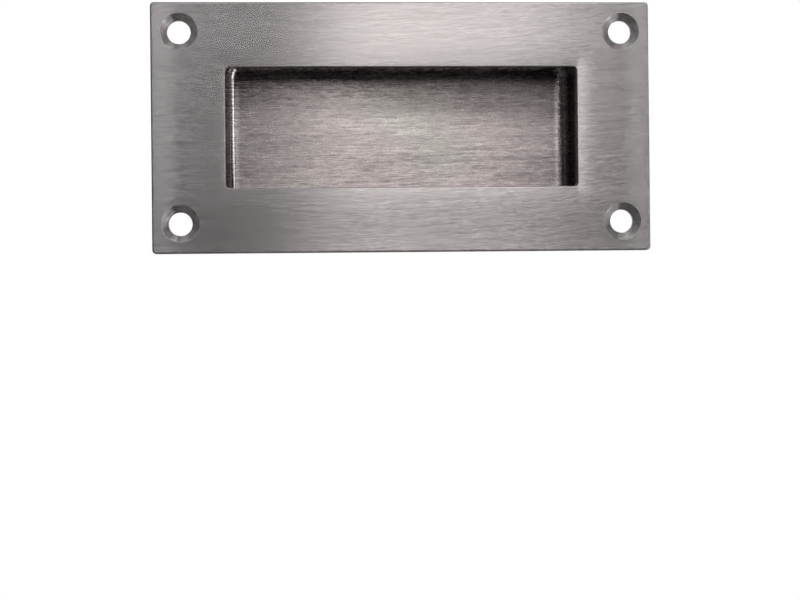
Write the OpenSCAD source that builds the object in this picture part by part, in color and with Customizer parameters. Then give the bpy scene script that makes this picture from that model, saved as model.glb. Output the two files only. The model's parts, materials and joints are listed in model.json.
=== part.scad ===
// Recessed pull handle, let into a door or drawer front and held by four countersunk screws.
// It stands as fitted: X runs along the handle, Z is up and the face looks towards -Y.
// The origin is the centre of the plane where the back of the face plate meets the door.
// All sizes are in millimetres.

/* [Face plate] */
// Length of the face plate
plate_w = 100; // [96:1:140]
// Height of the face plate
plate_h = 50; // [46:1:80]
// Thickness of the face plate
plate_t = 2.5; // [2:0.25:5]
// Radius of the face plate's corners, seen from the front
plate_corner_r = 0.8; // [0.6:0.1:4]
// Radius of the face plate's softened front edges
plate_edge_r = 0.35; // [0.1:0.05:0.5]

/* [Opening] */
// Length of the opening in the face plate
opening_w = 70.5; // [56:0.5:74]
// Height of the opening in the face plate
opening_h = 24; // [18:0.5:28]
// Radius of the opening's corners, seen from the front
opening_corner_r = 0.8; // [0.5:0.1:3]
// Radius of the opening's softened front edges
opening_edge_r = 0.25; // [0.1:0.05:0.5]

/* [Pan] */
// Depth of the recess, from the face to the floor of the pan
recess_depth = 13; // [10.5:0.5:20]
// Depth of the undercut behind the upper and lower edges of the opening, where the fingertips hook in
finger_lip = 2; // [0.5:0.25:3.5]
// Thickness of the sheet that the pan is pressed from
sheet_t = 1.2; // [0.8:0.1:2]
// Inside radius of the bend between the floor and the walls of the pan
bend_r = 2.4; // [1:0.1:2.8]
// Inside radius of the pan's corners, seen from the front
pan_corner_r = 3; // [3:0.25:6]

/* [Screw holes] */
// Diameter of the screw holes
hole_d = 4.7; // [4:0.1:5.2]
// Diameter of the countersinks, inside their bevelled edges
sink_d = 7.2; // [6.5:0.1:8.8]
// Angle across the countersinks
sink_angle = 90; // [80:1:100]
// Width of the bevel that softens the edge of each countersink
sink_bevel_w = 0.15; // [0.05:0.05:0.3]
// Slope of that bevel, measured from the face
sink_bevel_angle = 30; // [20:1:40]
// Distance from the plate's ends to the centres of the holes
hole_end_inset = 5.65; // [5.25:0.05:6.5]
// Distance from the plate's upper and lower edges to the centres of the holes
hole_edge_inset = 5.9; // [5.25:0.05:7]

/* [Stitch welds] */
// Length of each stitch weld between the pan and the plate
weld_length = 12; // [6:1:16]
// Leg of the stitch welds
weld_leg = 1; // [0.5:0.1:1.5]
// Distance between the middles of the two stitches on each long wall
weld_pitch = 36; // [24:1:44]

/* [Hidden] */
$fn = 96;

// How far a cutting solid reaches past the face that it opens
overshoot = 1;

pan_depth = recess_depth - plate_t;
pan_inner_w = opening_w;
pan_inner_h = opening_h + 2 * finger_lip;
pan_outer_w = pan_inner_w + 2 * sheet_t;
pan_outer_h = pan_inner_h + 2 * sheet_t;

hole_x = plate_w / 2 - hole_end_inset;
hole_z = plate_h / 2 - hole_edge_inset;
sink_depth = (sink_d - hole_d) / 2 / tan(sink_angle / 2);
sink_bevel_depth = sink_bevel_w * tan(sink_bevel_angle);

face_colour = [0.66, 0.64, 0.63];
pan_colour = [0.58, 0.55, 0.53];

// Turns a solid that stands on the XY plane so that it stands out of the door, towards the room
module facing_room() {
    rotate([90, 0, 0]) children();
}

// Turns a solid that stands on the XY plane so that it reaches into the door
module facing_door() {
    rotate([-90, 0, 0]) children();
}

// Keeps the right half of an upright section, from its middle outwards
module right_half(reach, height) {
    intersection() {
        translate([0, -overshoot]) square([reach, height + 2 * overshoot]);
        children();
    }
}

// Carries an upright section round a rectangle with rounded corners and fills the inside.
// The children draw the section, centred on its middle line and $span wide.
module carried_round(w, h, corner_r, height) {
    straight_run(w - 2 * corner_r, $span = h) children();
    rotate([0, 0, 90]) straight_run(h - 2 * corner_r, $span = w) children();
    for (x = [-1, 1], y = [-1, 1])
        translate([x * (w / 2 - corner_r), y * (h / 2 - corner_r), 0])
            rotate([0, 0, atan2(y, x) - 45])
                rotate_extrude(angle = 90)
                    right_half(corner_r + overshoot, height, $span = 2 * corner_r) children();
}

// Carries an upright section along X, centred
module straight_run(length) {
    rotate([90, 0, 90])
        translate([0, 0, -length / 2])
            linear_extrude(length) children();
}

// Section of a block whose upper edges are rounded
module rounded_section(height, edge_r) {
    translate([-$span / 2, 0]) square([$span, height - edge_r]);
    translate([edge_r - $span / 2, 0]) square([$span - 2 * edge_r, height]);
    for (side = [-1, 1])
        translate([side * ($span / 2 - edge_r), height - edge_r]) circle(r = edge_r);
}

// Section of a cut that leaves rounded edges on the plate of that height that it goes through
module flared_section(height, edge_r) {
    translate([-$span / 2, -overshoot]) square([$span, height + 2 * overshoot]);
    difference() {
        translate([-$span / 2 - edge_r, height - edge_r])
            square([$span + 2 * edge_r, edge_r + overshoot]);
        for (side = [-1, 1])
            translate([side * ($span / 2 + edge_r), height - edge_r]) circle(r = edge_r);
    }
}

// Block standing on the XY plane, with rounded corners and a rounded edge round its top
module rounded_block(w, h, height, corner_r, edge_r) {
    carried_round(w, h, corner_r, height) rounded_section(height, edge_r);
}

// One screw hole with its countersink and the bevel round it, cut through a plate standing on the XY plane
module screw_hole_cut() {
    sink_top = plate_t - sink_bevel_depth;
    rotate_extrude()
        polygon([
            [0, -overshoot],
            [hole_d / 2, -overshoot],
            [hole_d / 2, sink_top - sink_depth],
            [sink_d / 2, sink_top],
            [sink_d / 2 + sink_bevel_w, plate_t],
            [sink_d / 2 + sink_bevel_w, plate_t + overshoot],
            [0, plate_t + overshoot]
        ]);
}

// Stitch of weld metal along X, filling the corner between the XY plane and a wall through the X axis
module stitch_weld() {
    intersection() {
        rotate([0, 90, 0])
            translate([0, 0, -weld_length / 2])
                rotate_extrude()
                    right_half(weld_leg, weld_length) weld_section();
        translate([-weld_length, -2 * weld_leg, 0]) cube([2 * weld_length, 4 * weld_leg, 2 * weld_leg]);
    }
}

// Upright section of a stitch through its length, with round ends
module weld_section() {
    translate([-weld_leg, weld_leg]) square([2 * weld_leg, weld_length - 2 * weld_leg]);
    for (end = [weld_leg, weld_length - weld_leg])
        translate([0, end]) circle(r = weld_leg);
}

// Two stitches along each long wall of the pan and one along each end wall
module stitch_welds() {
    for (side = [-1, 1]) {
        for (place = [-1, 1])
            translate([place * weld_pitch / 2, side * pan_outer_h / 2, 0]) stitch_weld();
        translate([side * pan_outer_w / 2, 0, 0]) rotate([0, 0, 90]) stitch_weld();
    }
}

// Flat plate with a softened front edge, the finger opening and four countersunk screw holes
module face_plate() {
    color(face_colour)
        facing_room()
            difference() {
                rounded_block(plate_w, plate_h, plate_t, plate_corner_r, plate_edge_r);
                carried_round(opening_w, opening_h, opening_corner_r, plate_t)
                    flared_section(plate_t, opening_edge_r);
                for (x = [-1, 1], z = [-1, 1])
                    translate([x * hole_x, z * hole_z, 0]) screw_hole_cut();
            }
}

// Pan pressed from sheet, its open side against the plate's back and its foot held by stitch welds.
// Its end walls are flush with the opening, and its long walls stand behind the finger lips.
module recess_pan() {
    color(pan_colour)
        facing_door()
            difference() {
                union() {
                    rounded_block(
                        pan_outer_w, pan_outer_h, pan_depth + sheet_t, pan_corner_r + sheet_t, bend_r + sheet_t
                    );
                    stitch_welds();
                }
                translate([0, 0, -overshoot])
                    rounded_block(pan_inner_w, pan_inner_h, pan_depth + overshoot, pan_corner_r, bend_r);
            }
}

face_plate();
recess_pan();
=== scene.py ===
"""Recessed pull handle: brushed steel finishes, a pale studio and the camera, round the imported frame."""
import json
import math
from collections import namedtuple

import bpy
from mathutils import Matrix, Vector


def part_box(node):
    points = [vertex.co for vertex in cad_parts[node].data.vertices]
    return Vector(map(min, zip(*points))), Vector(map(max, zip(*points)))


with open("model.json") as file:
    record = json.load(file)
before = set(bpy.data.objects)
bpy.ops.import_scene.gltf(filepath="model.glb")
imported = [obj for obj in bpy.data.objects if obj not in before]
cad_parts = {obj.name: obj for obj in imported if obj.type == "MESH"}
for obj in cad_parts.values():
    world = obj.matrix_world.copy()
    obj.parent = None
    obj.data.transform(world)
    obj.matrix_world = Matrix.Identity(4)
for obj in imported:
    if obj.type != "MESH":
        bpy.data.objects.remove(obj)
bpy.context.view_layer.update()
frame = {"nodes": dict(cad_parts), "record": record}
scene = bpy.context.scene

# Lengths are in metres, in the row frame: X along the handle, Z up, the face towards -Y
MM = 0.001

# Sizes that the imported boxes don't give: the pan's sheet, the undercut behind the opening's long edges, the
# width of a countersink, and the stitch welds' leg, half their length and the places of those on long walls
SHEET = 1.2 * MM
FINGER_LIP = 2.0 * MM
SINK_WIDTH = 1.4 * MM
WELD_LEG = 1.0 * MM
WELD_HALF = 6.0 * MM
WELD_X = 18.0 * MM

# Places of the screw holes, of the pan's floor, and of the opening's edges, which line up with the pan
plate_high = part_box("face_plate")[1]
pan_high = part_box("recess_pan")[1]
screw_holes = next(mount for mount in frame["record"]["mounts"] if mount["name"] == "screw_holes")
HOLE_X = screw_holes["dims"]["spacing_x_mm"] / 2 * MM
HOLE_Z = screw_holes["dims"]["spacing_y_mm"] / 2 * MM
SINK_RIM = screw_holes["dims"]["hole_r_mm"] * MM + SINK_WIDTH
PAN_FLOOR = pan_high.y - SHEET
OPENING_X = pan_high.x - WELD_LEG - SHEET
OPENING_Z = pan_high.z - WELD_LEG - SHEET - FINGER_LIP

# Mean colours of the steel. The pan is warm in tone, with a cooler stain
FACE_COLOUR = (0.636, 0.604, 0.609)
PAN_WARM = (0.600, 0.541, 0.546)
PAN_COOL = (0.576, 0.552, 0.531)

# What the steel keeps of its brightness at a grazing angle
FACE_EDGE_TINT = (0.40, 0.40, 0.40, 1.0)
PAN_EDGE_TINT = (0.70, 0.70, 0.70, 1.0)

# Roughness. Where the steel is brushed it is a ramp over the marks, from the dark ones to the light ones
FACE_ROUGHNESS = (-0.3, 0.3, 0.25, 0.27)
BACK_ROUGHNESS = 0.36
EDGE_ROUGHNESS = 0.42
SINK_ROUGHNESS = 0.33
PAN_ROUGHNESS = (-0.4, 0.4, 0.25, 0.28)
OUTSIDE_ROUGHNESS = 0.40

# Brush marks as length, width and strength, where their noise is cut, and the ways across the grain
FACE_STROKES = ((1.2 * MM, 0.18 * MM, 0.65), (6.0 * MM, 0.21 * MM, 0.45), (0.30 * MM, 0.18 * MM, 0.30))
PAN_STROKES = ((1.8 * MM, 0.19 * MM, 1.20), (9.0 * MM, 0.21 * MM, 1.00), (0.4 * MM, 0.19 * MM, 0.75))
STROKE_CUT = 0.37
ACROSS_LONG_GRAIN = (0.0, 0.01, 1.0)
ACROSS_END_GRAIN = (0.0, 1.0, 0.01)

# How the marks stray: their curve over the handle's length, and the height, spread and detail of their sway
FACE_STRAY = dict(curve=-0.5, sway=0.5 * MM, spread=(70.0, 0.0, 70.0), detail=0.0)
PAN_STRAY = dict(curve=-0.2, sway=0.6 * MM, spread=(60.0, 0.0, 90.0), detail=1.0)

# How strong the marks are, as ramps from one place to another with the strength at both. They are weaker on
# the plate's back, on the pan's end walls and outside the pan
FACE_MARKS_DOWN = (15 * MM, -15 * MM, 0.7, 1.15)
FACE_MARKS_RIGHT = (-33 * MM, 44 * MM, -0.1, 0.25)
FACE_MARKS_LEFT = (-15 * MM, -36 * MM, 0.0, 0.12)
FACE_MARKS_BACK = -0.4
PAN_MARKS_UP = (4 * MM, 12 * MM, 1.0, 2.7)
PAN_MARKS_WALL = -0.6
PAN_MARKS_OUTSIDE = 0.4

# How far a normal has to turn to count as an end's or the back's, and how straight it is off a rounded edge
FACING = 0.7
OFF_EDGE = 0.985

# Turned rings in the countersinks: their width, their changes on the way round, and their strength
RING_WIDTH = 0.14 * MM
RING_SWEEP = 2.5
RING_STRENGTH = 1.7

# The plate's opening was cut and not brushed: how much its walls are darkened as painted shade, and a margin
# that takes them in
PAINTED_CUT_WALL_SHADE = -0.40
CUT_WALL_MARGIN = 0.03 * MM

# Relief of the face: its marks, the worn borders, and the lip of the opening, rolled more to the right
FACE_MARK_DEPTH = 0.0012 * MM
END_WEAR = 0.03 * MM
END_WEAR_WIDTH = 6 * MM
SIDE_WEAR = 0.15 * MM
SIDE_WEAR_WIDTH = 11 * MM
LIP_REACH = 1.3 * MM
LIP_ROLL = (-35 * MM, 35 * MM, -0.027 * MM, -0.081 * MM)

# Relief of the pan: its marks and dents, the floor's lean to the right and its dip at the right bend, the
# curve before both bends, and the right wall's slight lean near the mouth
PAN_MARK_DEPTH = 0.002 * MM
DENT_DEPTH = 0.004 * MM
FLOOR_LEAN = 0.0055
FLOOR_DIP = (32.85 * MM, 33.85 * MM, 0.0, -0.10 * MM)
BEND_START = 32.2 * MM
BEND_CURVE = 12.0
RIGHT_WALL = 35 * MM
WALL_LEAN_END = 6.5 * MM
WALL_LEAN = 0.05

# Patches as the X and Z of their middle, their half sizes and their strength: painted shade that darkens a
# corner of the face, painted light and painted shade on the pan's floor, and a cooler stain. The stain is
# also at the floor's left end
PAINTED_SHADE_PATCHES = ((-41 * MM, -19 * MM, 8 * MM, 9 * MM, -0.12),)
PAINTED_LIGHT_AND_SHADE_PATCHES = (
    (-5 * MM, 1.5 * MM, 11 * MM, 4 * MM, 0.08),
    (-32 * MM, 3 * MM, 9 * MM, 8 * MM, 0.18),
    (-2 * MM, -9.5 * MM, 12 * MM, 5 * MM, -0.16),
    (32 * MM, -10 * MM, 10 * MM, 6 * MM, -0.24),
)
STAINED_PATCHES = (
    (0.5 * MM, 5.5 * MM, 8.5 * MM, 6.5 * MM, 1.0),
    (8.5 * MM, -4.5 * MM, 7 * MM, 6 * MM, 1.0),
    (-20 * MM, -11 * MM, 9 * MM, 2 * MM, 0.7),
)
STAINED_END = (-30 * MM, -33 * MM, 0.0, 0.45)
STAIN_EDGE = (0.2, 0.8)

# Broad unevenness of the pan's brightness and tone: changes for each metre along X, Y and Z, and strength
CLOUD_SPREAD = (90.0, 90.0, 170.0)
CLOUD_STRENGTH = 0.24
MOTTLE_SPREAD = (120.0, 120.0, 150.0)
MOTTLE_STRENGTH = 0.8

# The pan's end walls: where they begin over the floor, and the painted shade that darkens the right one
# towards the mouth
WALL_START = (1.2 * MM, 2.6 * MM)
PAINTED_WALL_SHADE_RISE = (2 * MM, 9 * MM)
PAINTED_WALL_SHADE_RIGHT = (-30 * MM, 30 * MM, 0.0, -0.65)

# The heat of the stitch welds: how far it reached, how strongly it shows, its ragged edge and its tints
HEAT_REACH = 3.5 * MM
HEAT_SHARE = 0.75
HEAT_RAGGED = 1.5 * MM
TINT_BLUE = (0.30, 0.31, 0.36, 1.0)
TINT_STRAW = (0.52, 0.42, 0.27, 1.0)
TINT_CHANGE = (0.5 * MM, 2.2 * MM)

# The ripples on the beads: where they fade out above and past a stitch, their pitch and their height
RIPPLE_TOP = (1.1 * MM, 0.8 * MM)
RIPPLE_END = (0.3 * MM, 0.0)
RIPPLE_PITCH = 0.8 * MM
RIPPLE_HEIGHT = 0.025 * MM

# Camera, as the photograph was taken: a little to the left of the handle and below its middle
CAMERA_PLACE = Vector((-36.9, -449.6, -36.8)) * MM
CAMERA_AIM = Vector((-0.65, 0.0, -34.6)) * MM
CAMERA_ROLL_DEG = -0.6
CAMERA_LENS_MM = 101.0
CAMERA_SENSOR_MM = 36.0
CAMERA_CLIP = (0.01, 20.0)

# Lights round the handle. "side" is the sine of the angle to the right of the face's normal, "rise" is the
# angle up from it in degrees, the halves are half of their extents in the same terms, and "lean" is how much
# further to the side the light reaches for each degree that it rises
Light = namedtuple("Light", "side rise half_side half_rise lean brightness")
STUDIO_RADIUS = 1.2
COOL = (1.0, 1.0, 1.0)
WARM = (1.025, 1.0, 0.975)
SOFT_BOXES = {
    "key": Light(0.070, 22.0, 0.025, 17.0, 0.0019, 2.8),
    "key_fill": Light(0.240, 16.0, 0.210, 13.5, -0.0040, 0.08),
    "key_lower": Light(0.145, 16.0, 0.046, 11.5, 0.0031, 1.1),
    "left_near": Light(-0.053, 37.5, 0.029, 13.5, -0.0033, 2.9),
    "left_far": Light(-0.103, 9.0, 0.015, 8.0, 0.0028, 3.3),
    "left_glint": Light(-0.160, 12.0, 0.060, 20.0, 0.0, 0.4),
    "left_bend": Light(-0.319, 3.0, 0.029, 6.5, 0.0024, 3.6),
    "left_wide": Light(-0.533, 21.5, 0.028, 9.0, 0.0022, 2.4),
    "right_near": Light(0.608, 8.5, 0.064, 28.5, -0.0018, 2.8),
    "right_glint": Light(0.688, -30.0, 0.028, 13.5, 0.0, 5.0),
    "right_upper": Light(0.332, 33.0, 0.022, 26.5, 0.0021, 4.6),
    "right_low": Light(0.660, -43.0, 0.160, 27.5, 0.0078, 1.4),
    "key_upper": Light(0.155, 38.0, 0.053, 8.5, 0.0068, 6.1),
}

# Broader patches of light, painted in the surroundings: left low down, and overhead to the left
GLOWS = (
    Light(-0.750, -30.0, 0.140, 18.0, 0.0, 0.12),
    Light(-0.347, 63.0, 0.250, 29.0, 0.0080, 0.65),
)
GLOW_BLUR = 0.006
GLOW_BLUR_DEG = 2.0

# Brightness of the surroundings as the metal sees them, as ramps from one direction to another with the
# brightness at both. A direction is given by its X, Y or Z, from -1 to 1. To the right the light is warmer
SEEN_BACK = (0.25, 0.7, 0.002, 0.6)
SEEN_LEFT = (-0.2, -0.45, 0.0, 0.02)
SEEN_RIGHT = (0.93, 0.98, 0.0, 0.90)
SEEN_BOTH_SIDES = (0.985, 0.998, 0.0, 0.3)
SEEN_ABOVE = (0.985, 0.998, 0.0, 0.3)
SEEN_BELOW = (-0.85, -0.95, 0.0, 0.05)
WARM_START = (-0.02, 0.04)

# The floor lies well below the handle
FLOOR_HEIGHT = -0.95
FLOOR_SIZE = 12.0
FLOOR_COLOUR = (0.95, 0.95, 0.95, 1.0)
FLOOR_ROUGHNESS = 0.9


class NodeSheet:
    """Short calls that add nodes to a tree and link them, with the place or direction that is painted."""

    def __init__(self, tree, coordinates):
        self.tree = tree
        texture = self.add("ShaderNodeTexCoord")
        self.x, self.y, self.z = self.axes(texture.outputs[coordinates])
        self.normal = self.axes(texture.outputs["Normal"])

    def add(self, kind, **inputs):
        node = self.tree.nodes.new(kind)
        for key, value in inputs.items():
            self.feed(node.inputs[key.replace("_", " ")], value)
        return node

    def feed(self, socket, value):
        if hasattr(value, "is_output"):
            self.tree.links.new(value, socket)
        else:
            socket.default_value = value

    def maths(self, operation, a, b=0.0):
        node = self.tree.nodes.new("ShaderNodeMath")
        node.operation = operation
        for socket, value in zip(node.inputs, (a, b)):
            self.feed(socket, value)
        return node.outputs[0]

    def product(self, *values):
        result = values[0]
        for value in values[1:]:
            result = self.maths("MULTIPLY", result, value)
        return result

    def total(self, *values):
        result = values[0]
        for value in values[1:]:
            result = self.maths("ADD", result, value)
        return result

    def largest(self, *values):
        result = values[0]
        for value in values[1:]:
            result = self.maths("MAXIMUM", result, value)
        return result

    def size(self, value):
        return self.maths("ABSOLUTE", value)

    def sign(self, value):
        return self.maths("SIGN", value)

    def past(self, value, limit):
        """How far a value lies past a limit, and 0 before it."""
        return self.maths("MAXIMUM", self.total(value, -limit), 0.0)

    def distance(self, a, b):
        """How far away a place is that lies a one way and b across."""
        return self.maths("SQRT", self.total(self.product(a, a), self.product(b, b)))

    def ramp(self, value, low, high, to_low=0.0, to_high=1.0, smooth=False):
        node = self.tree.nodes.new("ShaderNodeMapRange")
        node.interpolation_type = "SMOOTHSTEP" if smooth else "LINEAR"
        for socket, number in zip(node.inputs, (value, low, high, to_low, to_high)):
            self.feed(socket, number)
        return node.outputs[0]

    def axes(self, vector):
        return self.add("ShaderNodeSeparateXYZ", Vector=vector).outputs

    def vector(self, x, y, z):
        return self.add("ShaderNodeCombineXYZ", X=x, Y=y, Z=z).outputs[0]

    def noise(self, x, y, z, detail):
        """Soft noise from 0 to 1, which changes about once for each unit of its coordinates."""
        node = self.add("ShaderNodeTexNoise", Vector=self.vector(x, y, z), Scale=1.0, Detail=detail)
        return node.outputs["Fac"]

    def cloud(self, spread, detail):
        """Noise over the piece, with its changes for each metre along X, Y and Z."""
        x, y, z = (self.product(place, changes) for place, changes in zip((self.x, self.y, self.z), spread))
        return self.noise(x, y, z, detail)

    def blend(self, share, a, b, kind="RGBA"):
        node = self.tree.nodes.new("ShaderNodeMix")
        node.data_type = kind
        sockets = [s for s in node.inputs if s.enabled]
        for socket, value in zip(sockets, (share, a, b)):
            self.feed(socket, value)
        return next(s for s in node.outputs if s.enabled)


class SteelSheet(NodeSheet):
    """The nodes of one steel finish."""

    def __init__(self, name):
        self.material = bpy.data.materials.new(name)
        self.material.use_nodes = True
        self.material.node_tree.nodes.clear()
        super().__init__(self.material.node_tree, "Object")

    def bump(self, *heights):
        """Relief from heights in metres."""
        return self.add("ShaderNodeBump", Strength=1.0, Distance=1.0, Height=self.total(*heights)).outputs[0]

    def finish(self, **inputs):
        shader = self.add("ShaderNodeBsdfPrincipled", Metallic=1.0, **inputs)
        self.add("ShaderNodeOutputMaterial", Surface=shader.outputs[0])
        return self.material


def grain(s, along, across, sizes):
    """Sum of brush marks, centred on 0: each size is length, width and strength."""
    layers = []
    for length, width, strength in sizes:
        marks = s.noise(s.product(along, 1 / length), s.product(across, 1 / width), STROKE_CUT, detail=1.0)
        layers.append(s.product(s.total(marks, -0.5), strength))
    return s.total(*layers)


def strayed(s, curve, sway, spread, detail):
    """How far a mark has strayed upwards: it curves over the handle's length, and sways a little."""
    from_left_end = s.total(s.x, plate_high.x)
    return s.total(s.product(from_left_end, from_left_end, curve), s.product(s.cloud(spread, detail), sway))


def patches(s, places):
    """Soft patches on the XZ plane, added up."""
    layers = []
    for x, z, half_x, half_z, strength in places:
        across = s.product(s.total(s.x, -x), 1 / half_x)
        up = s.product(s.total(s.z, -z), 1 / half_z)
        distance = s.total(s.product(across, across), s.product(up, up))
        layers.append(s.product(s.maths("EXPONENT", s.product(distance, -1.0)), strength))
    return s.total(*layers)


def shaded(s, amount, mean):
    """The colour made darker or lighter by a share between -0.5 and 0.5."""
    dark = tuple(0.5 * c for c in mean) + (1.0,)
    light = tuple(1.5 * c for c in mean) + (1.0,)
    return s.blend(s.total(amount, 0.5), dark, light)


def around_holes(s):
    """The distance to the middle of the nearest screw hole, and the way out from it."""
    aside = s.total(s.size(s.x), -HOLE_X)
    above = s.total(s.size(s.z), -HOLE_Z)
    outwards = s.vector(s.product(aside, s.sign(s.x)), 0.0, s.product(above, s.sign(s.z)))
    return s.distance(aside, above), outwards


def turned_rings(s, from_hole, outwards):
    """Rings round a screw hole, which fade in and out on the way round."""
    turn = s.add("ShaderNodeVectorMath", Vector=outwards)
    turn.operation = "NORMALIZE"
    sector_x, _, sector_z = (s.product(part, RING_SWEEP) for part in s.axes(turn.outputs[0]))
    rings = s.noise(s.product(from_hole, 1 / RING_WIDTH), sector_x, sector_z, detail=1.0)
    return s.product(s.total(rings, -0.5), RING_STRENGTH)


def cut_walls(s):
    """The walls of the plate's opening, 1 there."""
    in_width = s.maths("LESS_THAN", s.size(s.x), OPENING_X + CUT_WALL_MARGIN)
    in_height = s.maths("LESS_THAN", s.size(s.z), OPENING_Z + CUT_WALL_MARGIN)
    return s.product(in_width, in_height)


def face_relief(s, fine):
    """The belt's marks. It has also worn the borders down a little and rolled the lip of the opening."""
    end_wear = s.ramp(s.size(s.x), plate_high.x - END_WEAR_WIDTH, plate_high.x, smooth=True)
    side_wear = s.ramp(s.size(s.z), plate_high.z - SIDE_WEAR_WIDTH, plate_high.z, smooth=True)
    from_lip = s.distance(s.past(s.size(s.x), OPENING_X), s.past(s.size(s.z), OPENING_Z))
    near_lip = s.maths("EXPONENT", s.product(from_lip, -1 / LIP_REACH))
    return s.bump(
        s.product(fine, FACE_MARK_DEPTH),
        s.product(end_wear, -END_WEAR),
        s.product(side_wear, -SIDE_WEAR),
        s.product(near_lip, s.ramp(s.x, *LIP_ROLL)),
    )


def face_finish():
    """Satin steel brushed along X, with turned cones in the countersinks."""
    s = SteelSheet("brushed_face")
    sideways, forward, upwards = s.normal
    is_end = s.maths("GREATER_THAN", s.size(sideways), FACING)
    is_back = s.maths("GREATER_THAN", forward, FACING)
    from_hole, outwards = around_holes(s)
    in_sink = s.maths("LESS_THAN", from_hole, SINK_RIM)

    # The marks run along X, but along Z on the plate's two ends
    along = s.blend(is_end, s.x, s.z, "FLOAT")
    across = s.blend(is_end, s.total(s.z, s.y, strayed(s, **FACE_STRAY)), s.y, "FLOAT")
    fine = grain(s, along, across, FACE_STROKES)
    across_grain = s.blend(is_end, s.vector(*ACROSS_LONG_GRAIN), s.vector(*ACROSS_END_GRAIN), "VECTOR")
    across_grain = s.blend(in_sink, across_grain, outwards, "VECTOR")

    strength = s.total(
        s.ramp(s.z, *FACE_MARKS_DOWN),
        s.ramp(s.x, *FACE_MARKS_RIGHT),
        s.ramp(s.x, *FACE_MARKS_LEFT),
        s.product(is_back, FACE_MARKS_BACK),
    )
    # Painted shade: the corner patches darken the face's colour
    marks = s.total(s.product(fine, strength), patches(s, PAINTED_SHADE_PATCHES))
    marks = s.blend(in_sink, marks, turned_rings(s, from_hole, outwards), "FLOAT")
    # Painted shade darkens the walls of the plate's opening
    marks = s.total(marks, s.product(cut_walls(s), PAINTED_CUT_WALL_SHADE))

    # Rounded edges are rougher than the flat sides
    flattest = s.largest(s.size(sideways), s.size(forward), s.size(upwards))
    on_edge = s.maths("LESS_THAN", flattest, OFF_EDGE)
    rough = s.blend(is_back, s.ramp(fine, *FACE_ROUGHNESS), BACK_ROUGHNESS, "FLOAT")
    rough = s.blend(on_edge, rough, EDGE_ROUGHNESS, "FLOAT")
    rough = s.blend(in_sink, rough, SINK_ROUGHNESS, "FLOAT")
    return s.finish(
        Base_Color=shaded(s, marks, FACE_COLOUR),
        Roughness=rough,
        Anisotropic=1.0,
        Specular_Tint=FACE_EDGE_TINT,
        Tangent=across_grain,
        Normal=face_relief(s, fine),
    )


def weld_places(s, is_end, outside, cloud):
    """How hot the steel has been, how far it lies from a stitch, and the ripples on the bead."""
    side_stitch = s.total(s.size(s.total(s.size(s.x), -WELD_X)), -WELD_HALF)
    end_stitch = s.total(s.size(s.z), -WELD_HALF)
    past_stitch = s.past(s.blend(is_end, side_stitch, end_stitch, "FLOAT"), 0.0)
    from_weld = s.total(past_stitch, s.past(s.y, WELD_LEG), s.product(cloud, HEAT_RAGGED))
    heat = s.product(s.ramp(from_weld, HEAT_REACH, 0.0, smooth=True), outside)

    bead_run = s.blend(is_end, s.x, s.z, "FLOAT")
    ripple = s.maths("SINE", s.product(bead_run, 2 * math.pi / RIPPLE_PITCH))
    on_bead = s.product(s.ramp(s.y, *RIPPLE_TOP), s.ramp(past_stitch, *RIPPLE_END), outside)
    return heat, from_weld, s.product(ripple, on_bead)


def pan_relief(s, fine, dents, ripple):
    """The marks, dents and weld ripples, and how the sheet leans and curves where the press let it."""
    towards_bend = s.past(s.size(s.x), BEND_START)
    on_right_wall = s.maths("GREATER_THAN", s.x, RIGHT_WALL)
    to_mouth = s.maths("MINIMUM", s.total(s.y, -WALL_LEAN_END), 0.0)
    return s.bump(
        s.product(fine, PAN_MARK_DEPTH),
        s.product(s.x, -FLOOR_LEAN),
        s.product(towards_bend, towards_bend, BEND_CURVE),
        s.ramp(s.x, *FLOOR_DIP, smooth=True),
        s.product(on_right_wall, to_mouth, -WALL_LEAN),
        s.product(dents, DENT_DEPTH),
        s.product(ripple, RIPPLE_HEIGHT),
    )


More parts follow.
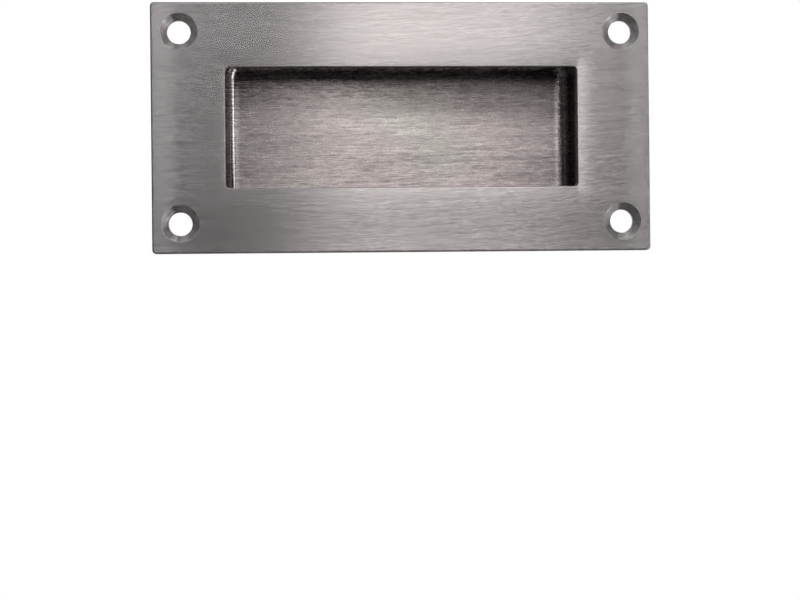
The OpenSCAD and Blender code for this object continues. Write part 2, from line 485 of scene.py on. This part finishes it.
def pan_finish():
    """Pressed sheet, brushed coarsely inside, and duller outside, where the stitch welds have tinted it."""
    s = SteelSheet("brushed_pan")
    sideways, forward, upwards = s.normal
    facing_out = s.total(s.product(sideways, s.sign(s.x)), forward, s.product(upwards, s.sign(s.z)))
    outside = s.maths("GREATER_THAN", facing_out, 0.0)
    is_end = s.maths("GREATER_THAN", s.size(sideways), s.size(upwards))
    is_long_side = s.maths("SUBTRACT", 1.0, is_end)
    above_floor = s.maths("SUBTRACT", PAN_FLOOR, s.y)

    # The marks run along X on the floor and go on up the walls at both ends
    along = s.total(s.x, s.product(s.sign(s.x), above_floor))
    across = s.total(s.z, strayed(s, **PAN_STRAY), s.product(is_long_side, above_floor, -1.0))
    fine = grain(s, along, across, PAN_STROKES)

    # Inside, the end walls are smoother, the right one darkened towards the mouth as painted shade, and the
    # floor has patches of painted light and painted shade
    on_wall = s.product(is_end, s.ramp(above_floor, *WALL_START, smooth=True))
    wall_marks = s.total(1.0, s.product(on_wall, PAN_MARKS_WALL))
    # Painted shade on the right end wall, deeper towards the mouth
    painted_wall_shade = s.product(is_end, s.ramp(above_floor, *PAINTED_WALL_SHADE_RISE), s.ramp(s.x, *PAINTED_WALL_SHADE_RIGHT))
    cloud = s.total(s.cloud(CLOUD_SPREAD, detail=2.0), -0.5)
    uneven = s.product(cloud, CLOUD_STRENGTH)
    inside_marks = s.product(fine, s.ramp(s.z, *PAN_MARKS_UP), wall_marks)
    # The floor's patches are painted light and painted shade
    inside_shade = s.total(inside_marks, patches(s, PAINTED_LIGHT_AND_SHADE_PATCHES), uneven, painted_wall_shade)
    outside_shade = s.total(s.product(fine, PAN_MARKS_OUTSIDE), uneven)
    shade = s.blend(outside, inside_shade, outside_shade, "FLOAT")

    mottle = s.total(s.cloud(MOTTLE_SPREAD, detail=1.0), -0.5)
    stain = patches(s, STAINED_PATCHES)
    stain = s.total(stain, s.ramp(s.x, *STAINED_END), s.product(mottle, MOTTLE_STRENGTH))
    colour = s.blend(s.ramp(stain, *STAIN_EDGE), shaded(s, shade, PAN_WARM), shaded(s, shade, PAN_COOL))

    # The welds' heat has left a blue tint in the steel beside them, and a straw one further off
    heat, from_weld, ripple = weld_places(s, is_end, outside, cloud)
    tint = s.blend(s.ramp(from_weld, *TINT_CHANGE), TINT_BLUE, TINT_STRAW)
    colour = s.blend(s.product(heat, HEAT_SHARE), colour, tint)
    return s.finish(
        Base_Color=colour,
        Roughness=s.blend(outside, s.ramp(fine, *PAN_ROUGHNESS), OUTSIDE_ROUGHNESS, "FLOAT"),
        Anisotropic=1.0,
        Specular_Tint=PAN_EDGE_TINT,
        Tangent=s.vector(*ACROSS_LONG_GRAIN),
        Normal=pan_relief(s, fine, uneven, ripple),
    )


def dress(node, material):
    """Gives a CAD node its material."""
    for slot in frame["nodes"][node].material_slots:
        slot.material = material


def place_camera():
    """The photograph's viewpoint, with the roll that its edges show."""
    data = bpy.data.cameras.new("camera")
    data.lens = CAMERA_LENS_MM
    data.sensor_width = CAMERA_SENSOR_MM
    data.clip_start, data.clip_end = CAMERA_CLIP
    camera = bpy.data.objects.new("camera", data)
    scene.collection.objects.link(camera)
    forward = (CAMERA_AIM - CAMERA_PLACE).normalized()
    right = forward.cross(Vector((0, 0, 1))).normalized()
    up = right.cross(forward)
    facing = Matrix((right, up, -forward)).transposed()
    roll = Matrix.Rotation(math.radians(CAMERA_ROLL_DEG), 3, "Z")
    camera.matrix_world = Matrix.Translation(CAMERA_PLACE) @ (facing @ roll).to_4x4()
    scene.camera = camera


def soft_box(name, light, colour):
    """A flat area light that faces the handle and fills the given part of its surroundings."""
    forward = math.sqrt(1 - light.side * light.side)
    angle = math.radians(light.rise)
    towards = Vector((light.side, -forward * math.cos(angle), forward * math.sin(angle)))
    turn = light.side / forward
    sideways = Vector((1.0, math.cos(angle) * turn, -math.sin(angle) * turn))
    upwards = Vector((0.0, forward * math.sin(angle), forward * math.cos(angle)))
    tall = upwards * math.tan(math.radians(light.half_rise)) + sideways * light.lean * light.half_rise
    up = tall.normalized()
    wide = light.half_side * sideways
    wide = wide - up * wide.dot(up)

    data = bpy.data.lights.new(name, "AREA")
    data.shape = "RECTANGLE"
    data.color = colour
    data.size = 2 * STUDIO_RADIUS * wide.length
    data.size_y = 2 * STUDIO_RADIUS * tall.length
    data.energy = light.brightness * math.pi * data.size * data.size_y
    lamp = bpy.data.objects.new(name, data)
    lamp.visible_camera = False
    right = up.cross(towards).normalized()
    facing = Matrix((right, towards.cross(right), towards)).transposed()
    lamp.matrix_world = Matrix.Translation(STUDIO_RADIUS * towards) @ facing.to_4x4()
    scene.collection.objects.link(lamp)


def glow(w, rise_seen, light):
    """A softly bounded patch of light, painted in the surroundings."""
    above = w.total(rise_seen, -light.rise)
    aside = w.total(w.x, -light.side, w.product(above, -light.lean))
    in_side = w.ramp(w.total(w.size(aside), -light.half_side), GLOW_BLUR, -GLOW_BLUR, smooth=True)
    in_rise = w.ramp(w.total(w.size(above), -light.half_rise), GLOW_BLUR_DEG, -GLOW_BLUR_DEG, smooth=True)
    return w.product(in_side, in_rise, light.brightness)


def surroundings():
    """White for the camera and the floor. The metal sees it dim in front, pale behind and to the sides."""
    world = bpy.data.worlds.new("studio")
    world.use_nodes = True
    world.cycles.sampling_method = "NONE"
    w = NodeSheet(world.node_tree, "Generated")
    seen = w.largest(
        w.ramp(w.y, *SEEN_BACK, smooth=True),
        w.ramp(w.x, *SEEN_LEFT, smooth=True),
        w.ramp(w.x, *SEEN_RIGHT, smooth=True),
        w.ramp(w.size(w.x), *SEEN_BOTH_SIDES, smooth=True),
        w.ramp(w.z, *SEEN_ABOVE, smooth=True),
        w.ramp(w.z, *SEEN_BELOW, smooth=True),
    )
    rise_seen = w.maths("DEGREES", w.maths("ARCTAN2", w.z, w.product(w.y, -1.0)))
    seen = w.total(seen, *[glow(w, rise_seen, light) for light in GLOWS])

    by_metal = w.add("ShaderNodeLightPath").outputs["Is Glossy Ray"]
    warm_share = w.product(w.ramp(w.x, *WARM_START, smooth=True), by_metal)
    background = world.node_tree.nodes["Background"]
    w.feed(background.inputs["Color"], w.blend(warm_share, COOL + (1.0,), WARM + (1.0,)))
    w.feed(background.inputs["Strength"], w.blend(by_metal, 1.0, seen, "FLOAT"))
    scene.world = world


def pale_floor():
    """A large pale floor, which the metal doesn't mirror."""
    half = FLOOR_SIZE / 2
    corners = [(x, y, FLOOR_HEIGHT) for x, y in ((-half, -half), (half, -half), (half, half), (-half, half))]
    mesh = bpy.data.meshes.new("studio_floor")
    mesh.from_pydata(corners, [], [(0, 1, 2, 3)])
    paint = bpy.data.materials.new("floor_paint")
    paint.use_nodes = True
    shader = paint.node_tree.nodes["Principled BSDF"]
    shader.inputs["Base Color"].default_value = FLOOR_COLOUR
    shader.inputs["Roughness"].default_value = FLOOR_ROUGHNESS
    shader.inputs["Specular IOR Level"].default_value = 0.0
    mesh.materials.append(paint)
    floor = bpy.data.objects.new("studio_floor", mesh)
    floor.visible_glossy = False
    scene.collection.objects.link(floor)


place_camera()
dress("face_plate", face_finish())
dress("recess_pan", pan_finish())

surroundings()
pale_floor()
for name, light in SOFT_BOXES.items():
    soft_box(name, light, WARM if name.startswith("key") else COOL)
scene.view_settings.view_transform = "Standard"
